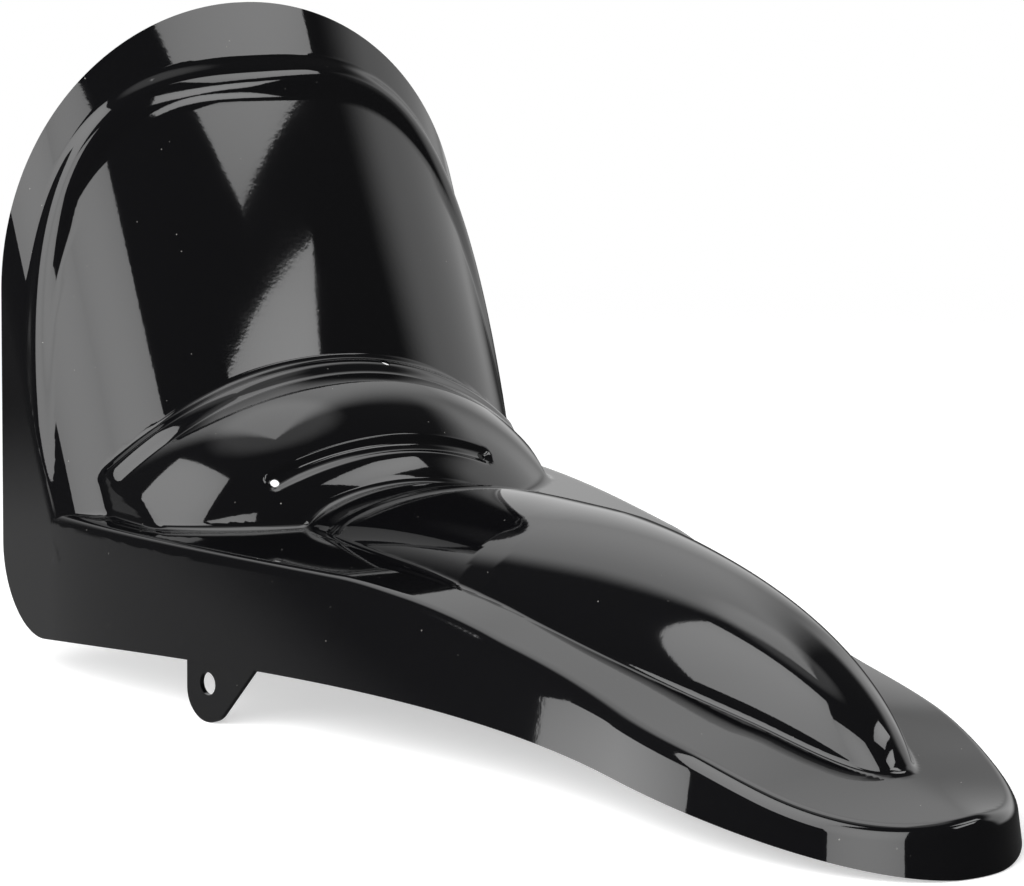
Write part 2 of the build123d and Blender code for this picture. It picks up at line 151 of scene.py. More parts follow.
class ShellSettings(bpy.types.PropertyGroup):
    """Sizes of the pressed shell: the CAD part's, and those of the small forms that only this skin has."""

    sheet: length("Sheet", "Thickness of the steel sheet", 0.0012)
    rim_height: length("Rim height", "Height of the rear rim's apex", 0.329)
    rim_lean: angle("Rim lean", "Lean of the rear rim's plane from upright", 5.0)
    half_width: length("Column half width", "Half of the column's width", 0.135)
    depth_top: length("Column depth at the top", "Depth of the column's half ellipse at the rim", 0.067)
    depth_foot: length("Column depth at the foot", "Depth of the column's half ellipse at the floor", 0.075)
    column_lean: angle("Column lean", "Lean of the column's front from upright", 22.7)
    column_foot: length("Column foot", "Height of the column's lower end, inside the shoulder", 0.060)
    bead_radius: length("Bead radius", "Radius of the raised bead below the rim", 0.006)
    bead_rise: length("Bead rise", "How far the bead stands above the skin", 0.0028)
    bead_blend: length("Bead blend", "Radius of the valleys beside the bead", 0.004)
    bead_drop: length("Bead drop", "Depth of the bead below the rim, in the middle", 0.0355)
    bead_end: angle("Bead end", "Angle round the column at which the bead dies away", 82.0)
    bead_run: length("Bead run", "How far the bead drops down each side", 0.216)
    nose_half_width: length("Nose half width", "Half width of the nose where its round front begins", 0.0755)
    nose_tip: length("Nose tip", "Front end of the nose", 0.6095)
    nose_waist: length("Nose waist", "Where the nose's round front begins", 0.4585)
    taper_start: length("Taper start", "Where the sides begin to run together", 0.0585)
    flare: angle("Skirt flare", "How far the skirt spreads towards its lower edge", 7.0)
    shoulder_height: length("Shoulder height", "Height of the shoulder at its bend", 0.079)
    shoulder_rear_slope: angle("Rear slope", "Slope of the shoulder behind the bend", 1.2)
    shoulder_slope: angle("Front slope", "Slope of the shoulder in front of the bend", 12.3)
    shoulder_bend: length("Shoulder bend", "Where the shoulder bends down", 0.3375)
    bend_run: length("Bend run", "Half of the length over which the shoulder bends", 0.0253)
    level_start: length("Level start", "Where the nose's top begins to level out", 0.5136)
    shoulder_edge: length("Shoulder edge", "Radius of the edge between shoulder and skirt", 0.005)
    strip_fall: angle("Strip fall", "Outward slope of the shoulder beside the crown's front", 15.0)
    strip_inner: length("Strip inner line", "Distance from the middle at which the outward slope begins", 0.040)
    strip_rise: length("Strip rise", "How far the shoulder's inner line lies higher beside the crown's front", 0.0045)
    tip_drop: length("Tip drop", "How far the nose's top falls towards its tip", 0.011)
    edge_rear: length("Rear edge height", "Height of the lower edge at the rear", 0.012)
    edge_crest: length("Edge crest height", "Height of the lower edge at its highest", 0.030)
    edge_crest_x: length("Edge crest place", "Where the lower edge is highest", 0.2535)
    rear_corner: length("Rear corner", "Radius of the rear corner", 0.040)
    crest_x: length("Collar crest place", "Where the collar's lip is highest", 0.107)
    crest_height: length("Collar crest height", "Height of the collar's lip", 0.1505)
    collar_lean: angle("Collar lean", "Lean of the axis about which the collar is turned", 18.0)
    collar_radius: length("Collar radius", "Radius of the collar's lip", 0.170)
    collar_length: length("Collar length", "Length of the collar along its axis", 0.090)
    collar_fall: length("Collar fall", "How much the collar narrows along its length", 0.041)
    collar_bulge: length("Collar bulge", "How far the collar's face is cushioned", 0.0145)
    collar_inset: length("Collar inset", "How far the collar's sides stand inside the shoulder", 0.016)
    collar_root: length("Collar root", "Radius of the valley between column and lip", 0.003)
    collar_foot: length("Collar foot", "Radius of the valley at the collar's foot", 0.0035)
    collar_edge: length("Collar edge", "Radius of the collar's side edges", 0.0025)
    lip_radius: length("Lip radius", "Radius of the rolled lip", 0.0045)
    lip_rise: length("Lip rise", "How far the lip stands above the collar's face", 0.0024)
    lip_blend: length("Lip blend", "Radius of the valley in front of the lip", 0.006)
    seat_share: FloatProperty(name="Seat place", description="Place of the badge seat along the face", default=0.62)
    seat_radius: length("Seat radius", "Radius of the badge seat's groove", 0.0065)
    seat_depth: length("Seat depth", "Depth of the badge seat's groove", 0.0024)
    seat_half_angle: angle("Seat half angle", "Half of the angle that the seat spans", 23.0)
    seat_edge: length("Seat edge", "Radius of the seat's edges", 0.0012)
    crown_root: length("Crown root", "Where the crown's root is measured", 0.140)
    crown_middle: length("Crown middle", "Where the crown is highest", 0.3185)
    crown_tip: length("Crown tip", "Front end of the crown", 0.5635)
    crown_height: length("Crown height", "Height of the crown", 0.107)
    crown_root_drop: length("Crown root drop", "How far the crown falls to its root", 0.018)
    crown_half_width: length("Crown half width", "Half of the crown's width", 0.058)
    crown_taper: FloatProperty(
        name="Crown taper", description="Share by which the crown narrows to its tip", default=0.5
    )
    crown_sink: length("Crown sink", "How far the crown's widest line lies below the shoulder", 0.007)
    crown_tip_height: length("Crown tip height", "Height of the crown's tip, inside the nose", 0.020)
    crown_foot: length("Crown foot", "Radius of the valley along the crown's foot", 0.0018)
    badge_hole: length("Badge hole", "Diameter of the badge's pin holes", 0.0045)
    crest_hole: length("Lip hole", "Diameter of the hole in the lip", 0.0055)
    crest_hole_angle: angle("Lip hole angle", "Angle of the lip's hole from the middle", 11.5)
    hoops: IntProperty(name="Hoops", description="Rows of faces from the rim to the nose", default=300)
    spokes: IntProperty(name="Spokes", description="Faces along half of each row", default=80)


class PaintSettings(bpy.types.PropertyGroup):
    """Colours and finish of the black paint."""

    enamel: FloatVectorProperty(
        name="Enamel",
        description="Base colour of the gloss black enamel",
        subtype="COLOR",
        size=3,
        default=(0.0022, 0.0022, 0.0026),
    )
    dust: FloatVectorProperty(
        name="Dust", description="Colour of the dust specks", subtype="COLOR", size=3, default=(0.32, 0.31, 0.29)
    )
    gloss: FloatProperty(name="Gloss roughness", description="Roughness of the clean enamel", default=0.03)


class StudioSettings(bpy.types.PropertyGroup):
    """The camera that repeats the photo's view."""

    camera_place: FloatVectorProperty(
        name="Camera place",
        description="Where the camera stands",
        subtype="XYZ",
        unit="LENGTH",
        size=3,
        default=(1.6525, -0.8898, 0.3980),
    )
    camera_aim: FloatVectorProperty(
        name="Camera aim",
        description="Point in the middle of the picture",
        subtype="XYZ",
        unit="LENGTH",
        size=3,
        default=(0.2432, 0.0209, 0.1248),
    )
    camera_roll: angle("Camera roll", "Turn of the camera about its view", -1.28)
    lens: FloatProperty(name="Lens", description="Focal length in millimetres", default=126.0)


class Socket:
    """A shader socket that takes Python arithmetic, each operation adding a Math node."""

    def __init__(self, tree, out):
        self.tree = tree
        self.out = out

    def maths(self, operation, *others):
        return self.tree.node("ShaderNodeMath", {"operation": operation}, dict(enumerate((self, *others))))

    def __add__(self, other):
        return self.maths("ADD", other)

    def __radd__(self, other):
        return self.maths("ADD", other)

    def __sub__(self, other):
        return self.maths("SUBTRACT", other)

    def __rsub__(self, other):
        return self.tree.node("ShaderNodeMath", {"operation": "SUBTRACT"}, {0: other, 1: self})

    def __mul__(self, other):
        return self.maths("MULTIPLY", other)

    def __rmul__(self, other):
        return self.maths("MULTIPLY", other)

    def above(self, limit, soft):
        """One where the value is over a limit, nought below it, with a soft step between."""
        return self.tree.node(
            "ShaderNodeMapRange",
            {"interpolation_type": "SMOOTHSTEP"},
            {"Value": self, "From Min": limit - soft, "From Max": limit + soft},
        )


class Tree:
    """A node tree that adds nodes from their settings and inputs."""

    def __init__(self, owner):
        owner.use_nodes = True
        self.nodes = owner.node_tree.nodes
        self.links = owner.node_tree.links
        self.nodes.clear()

    def node(self, kind, settings=None, inputs=None, out=0):
        made = self.nodes.new(kind)
        for name, value in (settings or {}).items():
            setattr(made, name, value)
        for name, value in (inputs or {}).items():
            if isinstance(value, Socket):
                self.links.new(value.out, made.inputs[name])
            else:
                made.inputs[name].default_value = value
        return Socket(self, made.outputs[out]) if made.outputs else made


def enamel_material(name):
    """Gloss black enamel with a faint orange peel, a thin haze and a few specks of dust."""
    paint = bpy.context.scene.mudguard_paint
    material = bpy.data.materials.new(name)
    tree = Tree(material)
    place = tree.node("ShaderNodeTexCoord", out="Object")
    inside = tree.node("ShaderNodeAttribute", {"attribute_name": "inside"}, out="Fac")
    haze = tree.node("ShaderNodeTexNoise", {}, {"Vector": place, "Scale": 14.0, "Detail": 5.0, "Roughness": 0.6})
    cells = tree.node("ShaderNodeTexVoronoi", {}, {"Vector": place, "Scale": 160.0, "Randomness": 1.0})
    rare = tree.node("ShaderNodeTexNoise", {}, {"Vector": place, "Scale": 90.0, "Detail": 2.0})
    speck = (SPECK_SIZE - cells).above(0.0, SPECK_SOFT) * rare.above(*SPECK_RARE)
    colour = tree.node(
        "ShaderNodeMix",
        {"data_type": "RGBA"},
        {"Factor": speck * SPECK_COVER, "A": (*paint.enamel, 1.0), "B": (*paint.dust, 1.0)},
        out="Result",
    )
    rough = haze.above(0.55, 0.25) * HAZE_ROUGH + paint.gloss + speck * SPECK_ROUGH + inside * INSIDE_ROUGH
    peel = tree.node("ShaderNodeTexNoise", {}, {"Vector": place, "Scale": 420.0, "Detail": 1.0})
    waves = tree.node("ShaderNodeTexNoise", {}, {"Vector": place, "Scale": 45.0, "Detail": 1.0})
    bump = tree.node(
        "ShaderNodeBump",
        {},
        {"Strength": 0.05, "Distance": 0.0004, "Height": peel * 0.25 + waves + inside * peel * 4.0},
    )
    shader = tree.node(
        "ShaderNodeBsdfPrincipled",
        {},
        {"Base Color": colour, "Roughness": rough, "IOR": 1.5, "Normal": bump},
    )
    tree.node("ShaderNodeOutputMaterial", {}, {"Surface": shader})
    return material


def ramp(share):
    """A smooth step from nought to one."""
    share = np.clip(share, 0.0, 1.0)
    return share * share * (3.0 - 2.0 * share)


def over(value, span):
    """A smooth step that starts at a value and takes a run."""
    start, run = span
    return ramp((value - start) / run)


def round_union(a, b, radius):
    """The union of two distance fields, with a rounded valley."""
    near = np.hypot(np.maximum(radius - a, 0.0), np.maximum(radius - b, 0.0))
    return np.maximum(np.minimum(a, b), radius) - near


def round_cut(a, b, radius):
    """What two distance fields share, with a rounded edge."""
    return -round_union(-a, -b, radius)


def circle_through(a, b, c):
    """Centre and radius of the circle through three points."""
    rows = np.array([[b[0] - a[0], b[1] - a[1]], [c[0] - a[0], c[1] - a[1]]])
    squares = [p[0] ** 2 - a[0] ** 2 + p[1] ** 2 - a[1] ** 2 for p in (b, c)]
    centre = np.linalg.solve(rows, np.array(squares) / 2.0)
    return centre, math.hypot(a[0] - centre[0], a[1] - centre[1])


class Pressing:
    """The pressed shell's outer skin as a distance field, negative inside."""

    def __init__(self, sizes):
        self.sizes = sizes
        s = sizes
        axis = np.array([math.sin(s.collar_lean), math.cos(s.collar_lean)])
        self.collar_origin = np.array([s.crest_x, s.crest_height]) - s.collar_radius * axis
        start = s.collar_radius - s.lip_rise
        end = start - s.collar_fall
        middle = (start + end) / 2.0 + s.collar_bulge
        points = (0.0, start), (s.collar_length / 2.0, middle), (s.collar_length, end)
        self.face_centre, self.face_radius = circle_through(*points)
        turns = [math.atan2(p[1] - self.face_centre[1], p[0] - self.face_centre[0]) for p in (points[0], points[2])]
        turn = turns[0] + (turns[1] - turns[0]) * s.seat_share
        self.seat_outward = np.array([math.cos(turn), math.sin(turn)])
        self.seat = self.face_centre + self.seat_outward * (self.face_radius + s.seat_radius - s.seat_depth)

    def column(self, x, y, z, plain):
        """Distance to the column, plain or with the raised bead on it."""
        s = self.sizes
        fall = s.rim_height - z
        grow = (s.depth_foot - s.depth_top) / s.rim_height
        depth = s.depth_top + grow * fall
        slope = math.tan(s.column_lean)
        centre = s.rim_height * math.tan(s.rim_lean) + slope * fall - depth
        u = np.maximum(x - centre, 0.0) / depth
        v = y / s.half_width
        e = np.maximum(np.hypot(u, v), 1e-6)
        du = u * ((slope - grow) / depth + u * grow / depth)
        steep = np.sqrt((u / depth) ** 2 + (v / s.half_width) ** 2 + du**2) / e
        skin = (e - 1.0) / steep
        if plain:
            return skin
        theta = np.arctan2(np.abs(v), u)
        lift = 1.0 - np.cos(theta)
        bead_z = s.rim_height - s.bead_drop - s.bead_run * lift**BEAD_CURVE
        tilt = s.bead_run * BEAD_CURVE * lift ** (BEAD_CURVE - 1.0) * np.sin(theta)
        along_z = -slope + grow - grow * np.cos(theta)
        ee = (depth * np.sin(theta)) ** 2 + (s.half_width * np.cos(theta)) ** 2
        ff = -depth * np.sin(theta) * along_z
        gg = along_z**2 + 1.0
        metric = (gg * tilt**2 - 2.0 * ff * tilt + ee) / (ee * gg - ff**2)
        aside = (z - bead_z) / np.sqrt(metric)
        rise = s.bead_rise - (s.bead_rise + 2.0 * s.bead_blend) * over(theta, (s.bead_end, BEAD_FADE))
        bead = np.hypot(skin + s.bead_radius - rise, aside) - s.bead_radius
        return round_union(skin, bead, s.bead_blend)

    def side(self, x, z, inset=0.0):
        """Half width of the plan at a place, with its slopes along x and z."""
        s = self.sizes
        flare = math.tan(s.flare)
        nose = s.nose_half_width - z * flare - inset
        rear = s.half_width - inset
        share = np.clip((x - s.taper_start) / (s.nose_waist - s.taper_start), 0.0, 1.0)
        run = (nose - rear) * 6.0 * share * (1.0 - share) / (s.nose_waist - s.taper_start)
        return rear + (nose - rear) * ramp(share), run, -flare * ramp(share)

    def shoulder(self, x):
        """Height and slope of the shoulder's top."""
        s = self.sizes
        rear, front = math.tan(s.shoulder_rear_slope), math.tan(s.shoulder_slope)
        begin, end = s.shoulder_bend - s.bend_run, s.shoulder_bend + s.bend_run
        bent = np.clip(x, begin, end) - begin
        height = s.shoulder_height + (s.shoulder_bend - np.minimum(x, begin)) * rear
        height = height - rear * bent - (front - rear) * bent**2 / (4.0 * s.bend_run)
        levelled = np.clip((x - s.level_start) / (s.nose_tip - s.level_start), 0.0, 1.0)
        run = np.maximum(x - end, 0.0)
        height = height - front * run + front * (s.nose_tip - s.level_start) * levelled**2 / 2.0
        slope = np.where(x < end, rear + (front - rear) * bent / (2.0 * s.bend_run), front * (1.0 - levelled))
        return height, slope

    def nose(self, x, y, z):
        """Distance to the skirt and its shoulder, which falls outward beside the crown's front."""
        s = self.sizes
        flare = math.tan(s.flare)
        width, run, lean = self.side(x, z)
        sides = (np.abs(y) - width) / np.sqrt(1.0 + run**2 + lean**2)
        reach = s.nose_tip - s.nose_waist - z * flare
        narrow = s.nose_half_width - z * flare
        u, v = np.maximum(x - s.nose_waist, 0.0) / reach, y / narrow
        e = np.maximum(np.hypot(u, v), 1e-6)
        steep = np.sqrt((u / reach) ** 2 + (v / narrow) ** 2 + flare**2 * (u**2 / reach + v**2 / narrow) ** 2) / e
        wall = np.where(x > s.nose_waist, (e - 1.0) / steep, sides)
        height, slope = self.shoulder(x)
        fall = math.tan(s.strip_fall) * over(x, FALL_IN) * (1.0 - FALL_EASE_SHARE * over(x, FALL_EASE))
        inner = s.strip_inner * (1.0 - over(x, INNER_CLOSE))
        aside = np.hypot(np.maximum(np.abs(y) - inner, 0.0), FALL_ROUND) - FALL_ROUND
        height = height - fall * aside + s.strip_rise * over(x, RISE_IN) - s.tip_drop * over(x, DROP_IN)
        top = (z - height) / np.sqrt(1.0 + slope**2 + fall**2)
        return round_cut(wall, top, s.shoulder_edge)

    def collar_frame(self, x, z):
        """Places along and out from the collar's axis."""
        s = self.sizes
        dx, dz = x - self.collar_origin[0], z - self.collar_origin[1]
        along = dx * math.cos(s.collar_lean) - dz * math.sin(s.collar_lean)
        out = dx * math.sin(s.collar_lean) + dz * math.cos(s.collar_lean)
        return along, out

    def collar(self, x, y, z):
        """Distance to the cushioned collar and its rolled lip."""
        s = self.sizes
        along, out = self.collar_frame(x, z)
        radius = np.hypot(out, y)
        face = np.hypot(along - self.face_centre[0], radius - self.face_centre[1]) - self.face_radius
        lip = np.hypot(along, radius - s.collar_radius + s.lip_radius) - s.lip_radius
        width, run, _ = self.side(x, 0.0 * z, s.collar_inset)
        ends = (np.abs(y) - width) / np.sqrt(1.0 + run**2)
        return round_cut(round_union(face, lip, s.lip_blend), ends, s.collar_edge)

    def seat_gap(self, x, y, z):
        """Distance to the round bar that sinks the badge seat."""
        s = self.sizes
        along, out = self.collar_frame(x, z)
        turn = np.clip(np.arctan2(y, out), -s.seat_half_angle, s.seat_half_angle)
        dx, dy = out - self.seat[1] * np.cos(turn), y - self.seat[1] * np.sin(turn)
        return np.sqrt((along - self.seat[0]) ** 2 + dx**2 + dy**2) - s.seat_radius

    def crown_level(self, x, y, z):
        """One on the crown's skin, less inside it."""
        s = self.sizes
        base = s.shoulder_height - s.crown_sink
        base = base - np.maximum(x - s.shoulder_bend, 0.0) * math.tan(s.shoulder_slope)
        back = np.clip((s.crown_middle - x) / (s.crown_middle - s.crown_root), 0.0, 1.0)
        ahead = np.clip((x - s.crown_middle) / (s.crown_tip - s.crown_middle), 0.0, 0.9999)
        width = s.crown_half_width * (1.0 - s.crown_taper * ahead)
        width = width * (1.0 - ahead ** CROWN_PLAN[0]) ** CROWN_PLAN[1]
        rise = (s.crown_height - s.crown_tip_height) * (1.0 - ahead ** CROWN_PROFILE[0]) ** CROWN_PROFILE[1]
        top = s.crown_tip_height + rise - s.crown_root_drop * back**3
        full = 2.0 + CROWN_FULLER * over(ahead, CROWN_FULLER_IN)
        up = np.maximum(z - base, 0.0) / np.maximum(top - base, 1e-4)
        level = ((np.abs(y) / width) ** full + up**full + 1e-9) ** (1.0 / full)
        return np.maximum(level, 1.0 + (x - s.crown_tip) / CROWN_CUT)

    def crown(self, x, y, z):
        """Distance to the crown."""
        step = 1e-4
        e = self.crown_level(x, y, z)
        run = (self.crown_level(x + step, y, z) - e) / step
        aside = (self.crown_level(x, y + step, z) - e) / step
        rise = (self.crown_level(x, y, z + step) - e) / step
        across = np.maximum(np.hypot(aside, rise), 1e-6)
        steep = np.hypot(across, np.minimum(np.abs(run), 2.0 * across))
        return np.maximum((e - 1.0) / steep, x - self.sizes.crown_tip)

    def __call__(self, x, y, z, plain=False):
        """Distance to the skin, or to its plain form without bead and badge seat."""
        s = self.sizes
        body = round_union(self.nose(x, y, z), self.crown(x, y, z), s.crown_foot)
        upper = round_union(self.column(x, y, z, plain), self.collar(x, y, z), s.collar_root)
        upper = np.maximum(upper, s.column_foot - z)
        blend = s.collar_foot * over(s.half_width - np.abs(y), (0.0, FOOT_FADE))
        whole = round_union(body, upper, blend)
        return whole if plain else round_cut(whole, -self.seat_gap(x, y, z), s.seat_edge)

    def normals(self, points, plain=False):
        """Outward directions at points near the skin."""
        x, y, z = np.moveaxis(points, -1, 0)
        step = 2e-5
        slope = np.stack(
            [
                self(x + step, y, z, plain) - self(x - step, y, z, plain),
                self(x, y + step, z, plain) - self(x, y - step, z, plain),
                self(x, y, z + step, plain) - self(x, y, z - step, plain),
            ],
            axis=-1,
        )
        return slope / np.maximum(np.linalg.norm(slope, axis=-1, keepdims=True), 1e-12)

    def cast(self, foot, tilt, turn):
        """Points on the skin, along rays that leave the foot line at a tilt and a turn."""
        heading = np.stack([np.cos(turn) * np.sin(tilt), np.sin(turn), np.cos(turn) * np.cos(tilt)], axis=-1)
        near, far = (np.full(turn.shape, end) for end in RAY_SPAN)
        for _ in range(RAY_HALVINGS):
            middle = (near + far) / 2.0
            spot = foot + heading * middle[..., None]
            inside = self(spot[..., 0], spot[..., 1], spot[..., 2], True) < 0.0
            near, far = np.where(inside, middle, near), np.where(inside, far, middle)
        return self.settle(foot + heading * near[..., None])

    def settle(self, points):
        """Points of the plain form, moved along its own directions on to the skin."""
        outward = self.normals(points, True)
        near, far = (np.full(points.shape[:-1], end) for end in (-SETTLE_SPAN, SETTLE_SPAN))
        for _ in range(SETTLE_HALVINGS):
            middle = (near + far) / 2.0
            spot = points + outward * middle[..., None]
            inside = self(spot[..., 0], spot[..., 1], spot[..., 2]) < 0.0
            near, far = np.where(inside, middle, near), np.where(inside, far, middle)
        return points + outward * near[..., None]

    def lower_edge(self, count):
        """Points of the trimmed edge in the middle plane: round the rear corner, then along to the nose.

        The corner gets a sixth as many points as the rest.
        """
        s = self.sizes
        rim = np.array([math.sin(s.rim_lean), math.cos(s.rim_lean)])
        inward = np.array([rim[1], -rim[0]])
        rear = s.edge_rear * np.array([math.tan(s.rim_lean), 1.0])
        centre, radius = circle_through(rear, (s.edge_crest_x, s.edge_crest), (s.nose_tip, 0.0))
        start = s.rear_corner * inward - centre
        reach = start @ rim
        along = math.sqrt(reach**2 - start @ start + (radius + s.rear_corner) ** 2) - reach
        corner = centre + start + rim * along
        meet = math.atan2(*(centre - corner)[::-1])
        turns = np.linspace(math.atan2(-inward[1], -inward[0]) % math.tau, meet % math.tau, count // 6)
        bend = corner + s.rear_corner * np.stack([np.cos(turns), np.sin(turns)], axis=-1)
        begin = math.atan2(*(corner - centre)[::-1])
        end = math.atan2(-centre[1], s.nose_tip - centre[0])
        turns = np.linspace(begin, end, count)[1:]
        return np.concatenate([bend, centre + radius * np.stack([np.cos(turns), np.sin(turns)], axis=-1)])


def spaced(weights, count):
    """Places at which a running sum of weights reaches even shares."""
    total = np.concatenate([[0.0], np.cumsum(weights)])
    return np.interp(np.linspace(0.0, total[-1], count), total, np.arange(len(total)))


def turning(points):
    """Angle between each two neighbouring runs of a line, once per run."""
    runs = np.diff(points, axis=-2)
    runs = runs / np.maximum(np.linalg.norm(runs, axis=-1, keepdims=True), 1e-9)
    bend = np.arccos(np.clip((runs[..., 1:, :] * runs[..., :-1, :]).sum(-1), -1.0, 1.0))
    return np.concatenate([bend, bend[..., -1:]], axis=-1)


def smeared(values, reach, axis):
    """Values averaged over their neighbours along an axis."""
    kernel = np.hanning(2 * reach + 3)[1:-1]
    kernel /= kernel.sum()
    padded = np.apply_along_axis(lambda line: np.pad(line, reach, mode="edge"), axis, values)
    return np.apply_along_axis(lambda line: np.convolve(line, kernel, mode="valid"), axis, padded)


def bead_leans(pressing, foot):
    """Turns and tilts under which the bead is seen from a point of the foot line."""
    s = pressing.sizes
    theta = np.linspace(0.0, s.bead_end, 60)
    z = s.rim_height - s.bead_drop - s.bead_run * (1.0 - np.cos(theta)) ** BEAD_CURVE
    fall = s.rim_height - z
    depth = s.depth_top + (s.depth_foot - s.depth_top) / s.rim_height * fall
    x = s.rim_height * math.tan(s.rim_lean) + math.tan(s.column_lean) * fall - depth * (1.0 - np.cos(theta))
    run, rise = x - foot[0], z - foot[1]
    return np.arctan2(s.half_width * np.sin(theta), np.hypot(run, rise)), np.arctan2(run, rise)


def skin_grid(pressing, hoops, spokes):
    """Rows of points over the skin, from the rear rim to the nose's tip, denser where it bends.

    Each row is a fan of rays from a point of the lower edge; the fans lean so that rows run along
    the bead, the collar's lip and the badge seat.
    """
    s = pressing.sizes
    edge = pressing.lower_edge(EDGE_SAMPLES)
    index = np.arange(len(edge))
    places = np.maximum.accumulate(edge[:, 0])
    seen, leans = bead_leans(pressing, edge[np.searchsorted(places, BEAD_ROW)])
    stations = (RIM_ROW, BEAD_ROW, LIP_ROW, *COLLAR_ROWS, *NOSE_ROWS)
    collar = [s.collar_lean] * (1 + len(COLLAR_ROWS))
    tilt = np.interp(places, stations, (s.rim_lean, leans[0], *collar, *np.radians(NOSE_LEANS)))
    share = np.interp(places, (RIM_ROW, BEAD_ROW, LIP_ROW), (0.0, 1.0, 0.0))
    foot = np.stack([edge[:, 0], np.zeros(len(edge)), np.maximum(edge[:, 1], EDGE_LOWEST)], axis=-1)

    def fan(feet, tilt, share, turns):
        """Points on the skin along a fan's rays, which lean to the bead by a share."""
        return pressing.cast(feet, tilt + share * (np.interp(turns, seen, leans) - leans[0]), turns)

    weight = 0.0
    for turn in np.radians(PROBE_TURNS):
        line = fan(foot, tilt, share, np.full(len(edge), turn))
        weight = weight + np.linalg.norm(np.diff(line, axis=0), axis=-1) + BEND_WEIGHT * turning(line)
    rows = spaced(smeared(weight, ROW_SMEAR, 0), hoops + 1)
    foot = np.stack([np.interp(rows, index, foot[:, k]) for k in range(3)], axis=-1)[:, None, :]
    tilt = np.interp(rows, index, tilt)[:, None]
    share = np.interp(rows, index, share)[:, None]
    even = np.linspace(0.0, math.pi / 2.0, FAN_SAMPLES)
    dense = fan(foot, tilt, share, np.broadcast_to(even, (len(rows), len(even))).copy())
    weight = np.linalg.norm(np.diff(dense, axis=1), axis=-1)
    weight = smeared(smeared(weight + BEND_WEIGHT * turning(dense), RAY_SMEAR, 1), RAY_SMEAR_ACROSS, 0)
    turns = np.array([np.interp(spaced(line, spokes + 1), np.arange(len(even)), even) for line in weight])
    half = fan(foot, tilt, share, turns)
    half[:, 0, 1] = 0.0
    return np.concatenate([half[:, :0:-1] * (1.0, -1.0, 1.0), half], axis=1)


def add_material(piece, material):
    """Gives a piece one material in place of its own."""
    piece.data.materials.clear()
    piece.data.materials.append(material)


